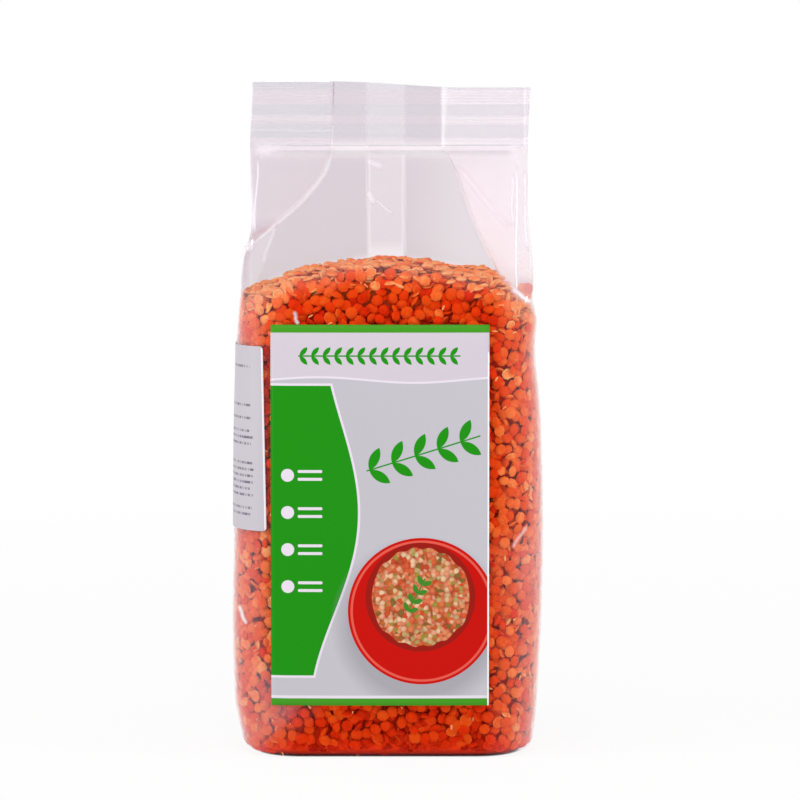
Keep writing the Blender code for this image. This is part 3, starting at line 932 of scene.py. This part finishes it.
def crimped_fin(material):
    """The loft carried on up to the cut edge. All layers move to and fro together: a sine up the
    height inside each band."""
    share = np.arange(FIN_COLUMNS) / FIN_COLUMNS
    up = np.linspace(0, 1, FIN_ROWS)
    share, up = np.broadcast_arrays(share[None], up[:, None])
    x_here = on_film(share, 0 * up + 190 * MM)[..., 0]
    tall = FIN_FOOT + up * (fin_top(x_here) - FIN_FOOT)
    points = on_film(share, tall)
    z, x = tall / MM, points[..., 0] / MM
    banded = sum(smooth_step(-BAND_EDGE, BAND_EDGE, z - low) * smooth_step(-BAND_EDGE, BAND_EDGE, high - z)
                 for low, high in CRIMP_BANDS)
    points[..., 1] += RIB_HEIGHT * banded * np.sin(tall / RIB_PITCH * 2 * np.pi)
    fin_draw = np.random.default_rng(5)
    line_places, dot_places = np.arange(178, 202, SPECK), np.arange(1200, 1500, SPECK)
    lines = np.interp(z + 0.006 * x, line_places, fin_draw.uniform(0, 1, len(line_places)))
    dots = np.interp(x + 7 * z, dot_places, fin_draw.uniform(0, 1, len(dot_places))) ** 3
    right, left = smooth_step(14.7, 15.7, x), smooth_step(16.9, 17.9, -x)
    middle = (1 - right) * (1 - left)
    foot, foot_lines = fin_foot(z, x)
    on_seam = smooth_step(-0.4, 0.4, SEAM_WIDTH / 2 - np.abs(x - SEAM_CENTRE))
    milk = left * (0.02 + 0.16 * lines + 0.06 * banded) + middle * (0.02 + 0.12 * lines)
    milk += right * (0.26 + 0.2 * banded) + sum(0.35 * white * bell(x - at, 0.4) for at, white in LAYER_EDGES)
    # Painted shade: a grey share, most in the middle, less on the seam and little on the right
    smoke = 0.05 * left + (0.18 - 0.07 * on_seam) * middle + 0.02 * right * (1 - banded)
    cool = (1 - banded) * (0.03 * left + 0.035 * middle + 0.02 * right) + 0.01
    level_line = bell(z - 193.4, 0.25) * right + 0.5 * left * (lines > 0.85)
    gleam = np.maximum.reduce([foot_lines, 0.35 * level_line, 0.5 * dots * banded * right])
    rim = points[-1:].copy()
    rim[..., 1] *= 0.1
    points = np.concatenate([points, rim])
    numbers = {"milk": milk + 0.33 * foot, "smoke": smoke * (1 - foot), "gleam": gleam,
               "cool": cool * (1 - 0.5 * foot)}
    numbers = {key: np.concatenate([values, values[-1:]]) for key, values in numbers.items()}
    numbers["milk"][-1] += 0.15
    faces = grid_faces(len(points), FIN_COLUMNS, closed=True).tolist()
    return make_piece("crimped_fin", points, faces, material, numbers)


fin = crimped_fin(film_material)

# %% [markdown]
# ## Seams and creases
#
# The tube is a flat sheet whose two edges are welded together down the back, and the weld is folded
# flat as a strip. At the bottom a second crimped fin is folded under the bag. Where the film is
# creased it shows as a thin bright line, so each crease is a narrow gleaming band on the film.


# %% The film's face
def film_face(x, heights, back=False):
    """y of the film's front or back panel at each x and height."""
    middle = PANEL_COLUMNS / 2 + back * (PANEL_COLUMNS + SIDE_COLUMNS)
    share = (middle + np.linspace(-15, 15, 400)) / COLUMNS
    found = []
    for here_x, z in zip(np.ravel(x), np.ravel(heights)):
        line = on_film(share, 0 * share + z)
        order = np.argsort(line[:, 0])
        found.append(np.interp(here_x, line[order, 0], line[order, 1]))
    return np.reshape(found, np.shape(x))


# %% Back seam and base seal
def back_seam(material):
    """A strip down the back, 0.12 mm off the film at both edges and 0.45 mm off it between them."""
    heights = np.concatenate([np.linspace(6, 179.5, 90), np.linspace(180.5, 197.6, 24)]) * MM
    across = np.linspace(-0.5, 0.5, 21)
    x, tall = np.broadcast_arrays((SEAM_CENTRE + across[None] * SEAM_WIDTH) * MM, heights[:, None])
    y = film_face(x, tall, back=True) + (0.12 + 0.33 * smooth_step(0, 0.1, 0.5 - np.abs(across))) * MM
    edges = bell(0.47 - np.abs(across), 0.045) + 0 * x
    faces = grid_faces(*x.shape)[:, ::-1].tolist()
    # Painted shade between the strip's edges, from 148 mm to 182 mm up
    smoke = (0.15 - 0.15 * edges) * smooth_step(148, 152, tall / MM) * smooth_step(-182, -179, -tall / MM)
    return make_piece("back_seam", np.stack([x, y, tall], axis=-1), faces, material,
                      {"milk": 0.04 + 0 * x, "smoke": smoke})


seam = back_seam(film_material)


def base_seal(material):
    """The bottom fin folded flat: a band across the base with ribs along it, 0.3 mm thick."""
    x, y = np.meshgrid(np.linspace(-37, 37, 40) * MM, np.linspace(-8.5, 9.5, 120) * MM)
    ribs = np.sin(y / RIB_PITCH * 2 * np.pi) * smooth_step(0, 2 * MM, 9 * MM - np.abs(y))
    z = (0.04 + 0.03 * ribs) * MM
    faces = grid_faces(*x.shape)[:, ::-1].tolist()
    return make_piece("folded_base_seal", np.stack([x, y, z], axis=-1), faces, material,
                      {"milk": 0.25 + 0 * x})


seal = base_seal(film_material)

# %% Creases
# Share round, lowest height, width, milk, and gleam at the top and at the foot, of each pleat's edge
PLEAT_CREASES = [
    (LEFT_PLEAT, 147, 3.0, 0.45, 0.9, 0.6),
    (RIGHT_PLEAT, 132, 2.0, 0.2, 0.1, 0.35),
]
# On the front panel: ends as x and height in mm, width, milk and gleam
PANEL_CREASES = [
    ((-34.3, 157.6), (-37.8, 146), 1.0, 0.4, 0.15),
    ((-43, 150.4), (-40.2, 153.4), 1.4, 0.6, 0.2),
    ((37.4, 176), (37.2, 134.5), 0.5, 0.95, 0),
    ((36.1, 173), (36.2, 157), 0.6, 0.6, 0),
    ((35.4, 139.6), (41.9, 135), 1.2, 0.95, 0.2),
    ((39.7, 174), (40.4, 150), 0.7, 0.7, 0),
    ((-39.6, 178), (-40.3, 154), 0.6, 0.6, 0),
    ((40.3, 69.6), (35.9, 62.8), 0.9, 0.35, 0.1),
    ((-45.4, 45.3), (-42.6, 39.7), 1.0, 0.3, 0.7),
    ((-28.6, 133), (-27, 129), 0.8, 0.3, 0.7),
    ((19.4, 175), (35, 157), 1.2, 0.3, 0),
    ((-7.4, 176.4), (-2.2, 174.8), 1.5, 0.35, 0),
    ((-7.2, 167.4), (-4.4, 164.2), 1.4, 0.4, 0),
    ((-5, 165.2), (0.8, 161), 0.6, 0.35, 0),
]


def ribbon(line, width):
    """Nine rows of points beside a line, square to it in x and height, and how strong the crease is at
    each: most along the middle, and less towards both ends."""
    way = np.gradient(line, axis=0)
    square = np.stack([way[:, 2], 0 * way[:, 2], -way[:, 0]], axis=1)
    square /= np.linalg.norm(square, axis=1, keepdims=True)
    across = np.linspace(-1, 1, 9)[:, None, None]
    points = line[None] + across * square[None] * width / 2
    along = np.linspace(0, 1, len(line))
    ends = smooth_step(0, 0.15, along) * smooth_step(0, 0.15, 1 - along)
    return points, ends[None] * bell(across[..., 0] * 1.9, 1)


def creases(material):
    """All the creases as one piece: the inner edges of both pleats, and the short ones."""
    made = []
    for pleat, low, width, milk, top_gleam, low_gleam in PLEAT_CREASES:
        heights = np.linspace(low, 180.3, 60) * MM
        points, strength = ribbon(on_film(0 * heights + pleat, heights), width * MM)
        gleam = low_gleam + (top_gleam - low_gleam) * smooth_step(0.05, 0.35, np.linspace(0, 1, 60))
        made.append((points, milk * strength, gleam * strength))
    for start, end, width, milk, gleam in PANEL_CREASES:
        t = np.linspace(0, 1, 24)
        x = (start[0] + (end[0] - start[0]) * t + 0.25 * np.sin(t * 7)) * MM
        z = (start[1] + (end[1] - start[1]) * t) * MM
        points, strength = ribbon(np.stack([x, 0 * x, z], axis=1), 2 * width * MM)
        points[..., 1] = film_face(points[..., 0], points[..., 2]) - 0.12 * MM
        made.append((points, milk * strength, gleam * strength))
    points, milk, gleam = zip(*made)
    starts = np.cumsum([0] + [band.size for band in milk])
    faces = np.vstack([grid_faces(*band.shape) + start for band, start in zip(milk, starts)]).tolist()
    points = np.concatenate([band.reshape(-1, 3) for band in points])
    milk, gleam = (np.concatenate([band.ravel() for band in bands]) for bands in (milk, gleam))
    return make_piece("film_creases", points, faces, material,
                      {"milk": milk, "gleam": gleam})


crease_lines = creases(film_material)

# %% [markdown]
# ## The labels
#
# The front label is a printed sheet and the side label a white sticker that wraps round a corner.
# Both follow the film. The print is drawn by sums on the sheet's own coordinates in millimetres: the
# distance to a shape's edge decides which ink shows, so the edges stay sharp at any size. Its motifs
# are plain ones: leaves on a stem, a round dish of mixed grains, and fields of green.

# %% Label sheets
LABEL_OFF = 0.15 * MM
LABEL_THICKNESS = 0.15 * MM
FRONT_LABEL = (-35.2, 64.3, 16.3, 129.0)  # left edge, width, lower and upper edge
SIDE_ROUNDING = 1.2
SIDE_TILT = -0.018  # millimetres that its right edge moves for each one up


def walked(start_xs, runs, heights):
    """Points a little off the film, reached by walking round it at each height: from the place in front
    where x is that height's start, by each distance in that height's row of runs. The outline's length
    is summed up point by point."""
    rows = []
    for z, start_x, row_runs in zip(heights, start_xs, runs):
        share = np.arange(-AROUND, 2 * AROUND) / AROUND
        line, out = on_film(share, 0 * share + z), on_film(share, 0 * share + z, table_normals)
        flat_out = out[:, :2] / np.linalg.norm(out[:, :2], axis=1, keepdims=True)
        along = np.concatenate([[0], np.cumsum(np.linalg.norm(np.diff(line[:, :2], axis=0), axis=1))])
        front = slice(AROUND, AROUND + PANEL_COLUMNS * FINE)
        start = np.interp(start_x, line[front, 0], along[front])
        place = np.stack([np.interp(start + row_runs, along, line[:, k]) for k in (0, 1)], axis=1)
        normal = np.stack([np.interp(start + row_runs, along, flat_out[:, k]) for k in (0, 1)], axis=1)
        place = place + normal * LABEL_OFF
        rows.append(np.column_stack([place, np.full(len(place), z)]))
    return np.array(rows)


def label_sheet(name, start, direction, width, low, high, rounding, tilt, cells, material):
    """Rows of walked points, from start (x in mm) to the right or, for direction -1, to the left. Near
    the corners a row is shortened at both ends by the rounding's circle. cells: points across and
    rows. The sheet's UV map is its own flat size in metres."""
    across = np.linspace(0, 1, cells[0])
    turn = rounding * (1 - np.cos(np.linspace(0, np.pi / 2, 8))) if rounding else []
    inner = np.linspace(low + rounding, high - rounding, cells[1])
    heights = np.unique(np.concatenate([low + turn, inner, high - turn]) if rounding else inner)
    short = fading(np.minimum(heights - low, high - heights), rounding) if rounding else 0 * heights
    inset = rounding * (1 - np.sqrt(1 - short ** 2))
    runs = inset[:, None] + across[None] * (width - 2 * inset[:, None])
    starts = start + tilt * (heights - (low + high) / 2)
    points = walked(starts * MM, direction * runs * MM, heights * MM)
    faces = grid_faces(len(heights), cells[0])
    if direction < 0:
        faces = faces[:, ::-1]
    piece = make_piece(name, points, faces.tolist(), material)
    flat_x = runs if direction > 0 else width - runs
    flat = np.stack([flat_x, np.broadcast_to(heights[:, None] - low, runs.shape)], axis=-1) * MM
    corners = np.empty(len(piece.data.loops), int)
    piece.data.loops.foreach_get("vertex_index", corners)
    layer = piece.data.uv_layers.new(name="flat")
    layer.data.foreach_set("uv", flat.reshape(-1, 2)[corners].astype(np.float32).ravel())
    wall = piece.modifiers.new("paper", "SOLIDIFY")
    wall.thickness = LABEL_THICKNESS
    wall.offset = 1
    return piece


# %% Inks
GREEN = (0.011, 0.26, 0.004)
STRIP_GREEN = (0.055, 0.30, 0.015)
WHITE = (0.74, 0.68, 0.76)
HEADER = (0.60, 0.54, 0.605)
RED = (0.54, 0.003, 0.0005)
DARK_RED = (0.30, 0.008, 0.004)
FOOD_COLOURS = [
    (0.0, (0.70, 0.27, 0.12)),
    (0.3, (0.62, 0.10, 0.03)),
    (0.55, (0.78, 0.55, 0.34)),
    (0.7, (0.28, 0.26, 0.04)),
    (0.85, (0.58, 0.06, 0.02)),
    (1.0, (0.14, 0.14, 0.03)),
]
INK_EDGE = 0.10  # millimetres over which an ink's edge fades
# The print's own sizes, in mm from its lower left corner
HEADER_DEPTH = 16.4
FIELD_WIDTH, FIELD_WAVE, FIELD_FOOT = 19.5, 8.0, 9
DISH, DISH_RADIUS = (44.5, 28.2), 21.8
HOLLOW, HOLLOW_RADIUS = (44.1, 32.4), 16.2
MARK_ROWS, MARK_PITCH, FIRST_MARK = 4, 11.0, 30.0
STEMS = [  # middle, angle, half length, pitch of the leaves and half sizes of one
    ((45.0, 75.0), 0.30, 17.5, 7.0, (3.6, 1.45)),
    ((32.0, 103.6), 0.0, 23.8, 3.4, (1.7, 0.7)),
]


def inside(distance):
    """1 inside a shape and 0 outside, from the distance to its edge, which is negative inside."""
    return (0.5 - distance / INK_EDGE).clamp()


def length(x, y):
    """Distance from nought to (x, y)."""
    return (x * x + y * y) ** 0.5


def disc(x, y, centre, radius):
    """Distance to a circle's edge."""
    return length(x - centre[0], y - centre[1]) - radius


def box(x, y, centre, half, rounding=0.0):
    """Distance to a rounded rectangle, right outside its corners and near enough elsewhere."""
    dx = abs(x - centre[0]) - (half[0] - rounding)
    dy = abs(y - centre[1]) - (half[1] - rounding)
    return length(dx.most(0), dy.most(0)) + dx.most(dy).least(0) - rounding


def leaf(x, y, half_length, half_width):
    """Distance to a leaf along x: the lens shared by two circles, one above and one below."""
    radius = (half_length ** 2 + half_width ** 2) / (2 * half_width)
    return length(x, abs(y) + (radius - half_width)) - radius


def sprig(x, y, pitch, angle, half_length, half_width):
    """Distance to leaves that repeat along a stem on both its sides, each leaning forward."""
    along, side = x.repeat(pitch) - pitch * 0.12, abs(y)
    turned = along * math.cos(angle) + side * math.sin(angle) - half_length
    across = side * math.cos(angle) - along * math.sin(angle)
    return leaf(turned, across, half_length, half_width).least(side - 0.22)


def turned_place(x, y, centre, angle):
    """Coordinates about a centre, in axes turned by an angle."""
    dx, dy = x - centre[0], y - centre[1]
    c, s = math.cos(angle), math.sin(angle)
    return dx * c + dy * s, dy * c - dx * s


def printed_paper():
    """The front label's print, with each motif laid over the ones before it."""
    finish = Finish("printed label")
    flat = finish.wire("ShaderNodeUVMap", {"uv_map": "flat"})
    x, y, _ = (part / MM for part in finish.parts(flat))
    width, height = FRONT_LABEL[1], FRONT_LABEL[3] - FRONT_LABEL[2]
    # Grey panel, darker to the lower right, with a paler header over it and a white line between
    colour = finish.mix((0.5 + (x - y * 0.5) / 160).clamp(), (0.485, 0.465, 0.515), (0.53, 0.515, 0.56))
    header = (height - HEADER_DEPTH) - y + 0.8 * (x / 9).sine()
    colour = finish.mix(inside(header), colour, HEADER)
    colour = finish.mix(inside(abs(header + 0.3) - 0.3), colour, WHITE)
    # A green field down the left, with a slow wave for its edge and a white line along it
    field = x - (FIELD_WIDTH + FIELD_WAVE * ((y - 30) / 18.5).sine() * (1 - y / 260))
    field = field.most(y - (height - HEADER_DEPTH - 1.4)).most(FIELD_FOOT - y)
    colour = finish.mix(inside(field - 0.7), colour, WHITE)
    colour = finish.mix(inside(field), colour, GREEN)
    # A round dish of mixed grains seen from above, with its shadow
    shadow = ((5 - disc(x, y, (DISH[0] - 0.5, DISH[1] - 4), DISH_RADIUS)) / 6).clamp() * 0.55
    colour = finish.mix(shadow, colour, (0.25, 0.24, 0.27))
    rim = disc(x, y, DISH, DISH_RADIUS)
    colour = finish.mix(inside(rim), colour, RED)
    colour = finish.mix(inside(abs(rim + 1.1) - 0.35), colour, (0.72, 0.10, 0.07))
    hollow = disc(x, y, HOLLOW, HOLLOW_RADIUS)
    colour = finish.mix(inside(hollow), colour, DARK_RED)
    grains = finish.node("ShaderNodeTexVoronoi", inputs={"Vector": flat, "Scale": 780, "Randomness": 1})
    bits = Wire(finish, grains.outputs["Color"])
    bit = finish.wire("ShaderNodeSeparateColor", inputs={0: bits})
    food = finish.ramp(bit, FOOD_COLOURS)
    rounded = (1.35 - Wire(finish, grains.outputs["Distance"]) * 1.1).clamp()
    food = finish.mix(rounded, (0.35, 0.02, 0.01), food)
    colour = finish.mix(inside(hollow + 1.6 + 0.3 * (x * 1.3).sine()), colour, food)
    # Leaves on a stem: one in the panel, a row of small ones in the header, and one on the grains
    for place, angle, half, pitch, size in STEMS:
        along, side = turned_place(x, y, place, angle)
        leaves = sprig(along + half, side, pitch, 0.85, *size).most(abs(along) - half)
        colour = finish.mix(inside(leaves), colour, GREEN)
    along, side = turned_place(x, y, (43.0, 33.0), 1.1)
    garnish = sprig(along, side, 3.0, 0.8, 1.6, 0.75).most(abs(along) - 5.5)
    colour = finish.mix(inside(garnish), colour, (0.05, 0.22, 0.02))
    # White marks on the green field, a round one and two bars in each row
    step = ((y - FIRST_MARK) / MARK_PITCH).floor()
    in_row = (y - FIRST_MARK).repeat(MARK_PITCH) - MARK_PITCH / 2
    rows = abs(step - (MARK_ROWS - 1) / 2) - MARK_ROWS / 2
    mark = disc(x, in_row, (5.0, 0), 1.9)
    bars = box(x, abs(in_row), (11.6, 1.15), (3.6, 0.42), 0.3)
    colour = finish.mix(inside(mark.least(bars).most(rows)), colour, WHITE)
    # Green strips along the top and the bottom, and the bare paper edge at the right
    strips = (y - 2.1).least(height - 2.3 - y)
    colour = finish.mix(inside(abs(y - 2.6) - 0.4), colour, WHITE)
    colour = finish.mix(inside(strips), colour, STRIP_GREEN)
    bare_edge = (width - 0.45 - x).most(y - (height - 8))
    colour = finish.mix(inside(bare_edge), colour, (0.9, 0.95, 0.95))
    mottle = finish.bump(finish.noise(700, 2), 0.03 * MM)
    paper = finish.principled(Base_Color=colour, Roughness=0.36, Specular_IOR_Level=0.08, Normal=mottle)
    return finish.done(paper)


def sticker_paper():
    """White paper with sparse rows of short thin grey dashes, whose number varies from row to row."""
    finish = Finish("paper sticker")
    flat = finish.wire("ShaderNodeUVMap", {"uv_map": "flat"})
    x, y, _ = (part / MM for part in finish.parts(flat))
    row_pitch, dash_pitch = 1.9, 1.3
    row, dash = (y / row_pitch).floor(), (x / dash_pitch).floor()
    in_row = abs(y.repeat(row_pitch) - row_pitch / 2) - 0.36
    of_row = finish.wire("ShaderNodeTexWhiteNoise", {"noise_dimensions": "1D"}, {"W": row})
    of_dash = finish.wire("ShaderNodeTexWhiteNoise", {"noise_dimensions": "1D"}, {"W": dash + 37 * row})
    in_dash = abs(x.repeat(dash_pitch) - dash_pitch / 2) - 0.3 - 0.35 * of_dash
    right_end = SIDE_LABEL[1] - 1.9 - 3.5 * of_row
    bar = in_row.most(in_dash).most(x - right_end).most(2.0 - x).most(3.0 - y).most(y - 51)
    bar = bar.most((0.45 - of_row) * 5)
    colour = finish.mix(inside(bar) * (0.45 + 0.5 * of_dash), (0.49, 0.455, 0.505), (0.10, 0.09, 0.13))
    # A painted highlight along the sticker's right edge, where it is lifted
    colour = finish.mix(inside(SIDE_LABEL[1] - 0.6 - x), colour, (0.86, 0.84, 0.88))
    fibres = finish.bump(finish.noise(1500, 3), 0.03 * MM)
    return finish.done(finish.principled(Base_Color=colour, Roughness=0.5, Normal=fibres))


# %% Put the labels on
front_label = label_sheet("printed_label", FRONT_LABEL[0], 1, *FRONT_LABEL[1:], 0, 0, (60, 90),
                          printed_paper())
side_label = label_sheet("side_sticker", SIDE_LABEL[0], -1, *SIDE_LABEL[1:], SIDE_ROUNDING, SIDE_TILT,
                         (60, 30), sticker_paper())

# %% Hide the imported parts that these pieces take the place of
for piece in [film, fin, seam, seal, crease_lines, core, *lentils]:
    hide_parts("bag")
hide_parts("front_label")
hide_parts("side_label")
print("pieces for the bag:", 6 + len(lentils), "and two labels")

# %% [markdown]
# ## Floor, light and camera
#
# A pack photo is taken on a white sweep with large soft lamps on both sides. The world is white, and
# the floor is white paper lit from below, more so further out, so no horizon shows.
# Two side lamps add their reflection to the milky streaks painted along the film's corners, and one from
# above lights the heap.

# %% Floor
FLOOR_RADIUS = 6.0
FLOOR_GAP = 0.05 * MM
WORLD_LIGHT = 1.0
FOOT_CENTRE, FOOT_HALF, FOOT_ROUNDING = (-0.7 * MM, 0), (38.7 * MM, 19.2 * MM), 12.5 * MM
SHADE_EDGE = 1.2 * MM


def white_floor():
    """White paper that glows, except under the bag's foot. The glow grows a little further out."""
    finish = Finish("white sweep")
    x, y, _ = finish.parts(finish.place())
    from_bag = box(x, y, FOOT_CENTRE, FOOT_HALF, FOOT_ROUNDING)
    glow = (from_bag / SHADE_EDGE).clamp() * (0.9 + 0.1 * ((from_bag - 0.1) / 0.5).clamp())
    paper = finish.principled(Base_Color=(0.93, 0.93, 0.93), Roughness=0.9)
    light = finish.wire("ShaderNodeEmission", inputs={"Color": (1, 1, 1, 1), "Strength": WORLD_LIGHT})
    return finish.done(finish.blend(glow, paper, light))


def make_floor():
    """A flat disc of rings, just under the bag."""
    turn = np.arange(64) / 64 * 2 * np.pi
    radius = np.array([0.001, 0.3, 1.0, FLOOR_RADIUS])[:, None]
    points = np.stack([radius * np.cos(turn), radius * np.sin(turn), 0 * radius * turn - FLOOR_GAP], axis=-1)
    faces = grid_faces(len(radius), len(turn), closed=True).tolist() + [list(range(len(turn)))]
    mesh = bpy.data.meshes.new("floor")
    mesh.from_pydata(points.reshape(-1, 3).tolist(), [], faces)
    mesh.materials.append(white_floor())
    floor = bpy.data.objects.new("floor", mesh)
    bpy.context.scene.collection.objects.link(floor)


make_floor()
print("floor radius:", FLOOR_RADIUS, "m")

# %% Light
CEILING_LIGHT = 0.35
LAMP_AIM = (0, 0, 0.1)


def white_room():
    """White up to about 20 degrees over the horizon, and a dimmer ceiling above."""
    world = bpy.data.worlds.new("white room")
    world.use_nodes = True
    nodes, links = world.node_tree.nodes, world.node_tree.links
    way = nodes.new("ShaderNodeTexCoord")
    parts = nodes.new("ShaderNodeSeparateXYZ")
    rise = nodes.new("ShaderNodeMapRange")
    rise.interpolation_type = "SMOOTHSTEP"
    settings = {"From Min": 0.30, "From Max": 0.55, "To Min": WORLD_LIGHT, "To Max": CEILING_LIGHT}
    for key, value in settings.items():
        rise.inputs[key].default_value = value
    links.new(way.outputs["Generated"], parts.inputs[0])
    links.new(parts.outputs["Z"], rise.inputs["Value"])
    links.new(rise.outputs["Result"], nodes["Background"].inputs["Strength"])
    nodes["Background"].inputs["Color"].default_value = (1, 1, 1, 1)
    bpy.context.scene.world = world


white_room()


def soft_lamp(name, place, width, height, watts):
    """A rectangular lamp at a place, whose -Z axis points at the middle of the bag."""
    data = bpy.data.lights.new(name, "AREA")
    data.shape = "RECTANGLE"
    data.size, data.size_y, data.energy = width, height, watts
    lamp = bpy.data.objects.new(name, data)
    bpy.context.scene.collection.objects.link(lamp)
    lamp.location = place
    way = Vector(LAMP_AIM) - Vector(place)
    lamp.rotation_euler = way.to_track_quat("-Z", "Y").to_euler()


soft_lamp("left_lamp", (-0.80, -0.30, 0.30), 0.2, 0.7, 2.6)
soft_lamp("right_lamp", (0.80, -0.25, 0.30), 0.2, 0.7, 2.2)
soft_lamp("top_lamp", (-0.05, -0.35, 1.0), 0.5, 0.5, 4.0)

# %% Camera
CAMERA_DISTANCE = 1.1
CAMERA_ELEVATION = 5.5
SENSOR_WIDTH = 36  # mm
FRAME_WIDTH = 0.237
AIM = Vector((2.8, -15, 106.1)) * MM

lift = math.radians(CAMERA_ELEVATION)
camera_data = bpy.data.cameras.new("camera")
camera_data.sensor_width = SENSOR_WIDTH
camera_data.lens = SENSOR_WIDTH * CAMERA_DISTANCE / FRAME_WIDTH
camera = bpy.data.objects.new("camera", camera_data)
bpy.context.scene.collection.objects.link(camera)
camera.location = AIM + CAMERA_DISTANCE * Vector((0, -math.cos(lift), math.sin(lift)))
camera.rotation_euler = (math.pi / 2 - lift, 0, 0)
bpy.context.scene.camera = camera
bpy.context.scene.view_settings.view_transform = "Standard"
bpy.context.scene.cycles.transparent_max_bounces = 24
print("lens:", round(camera_data.lens), "mm")
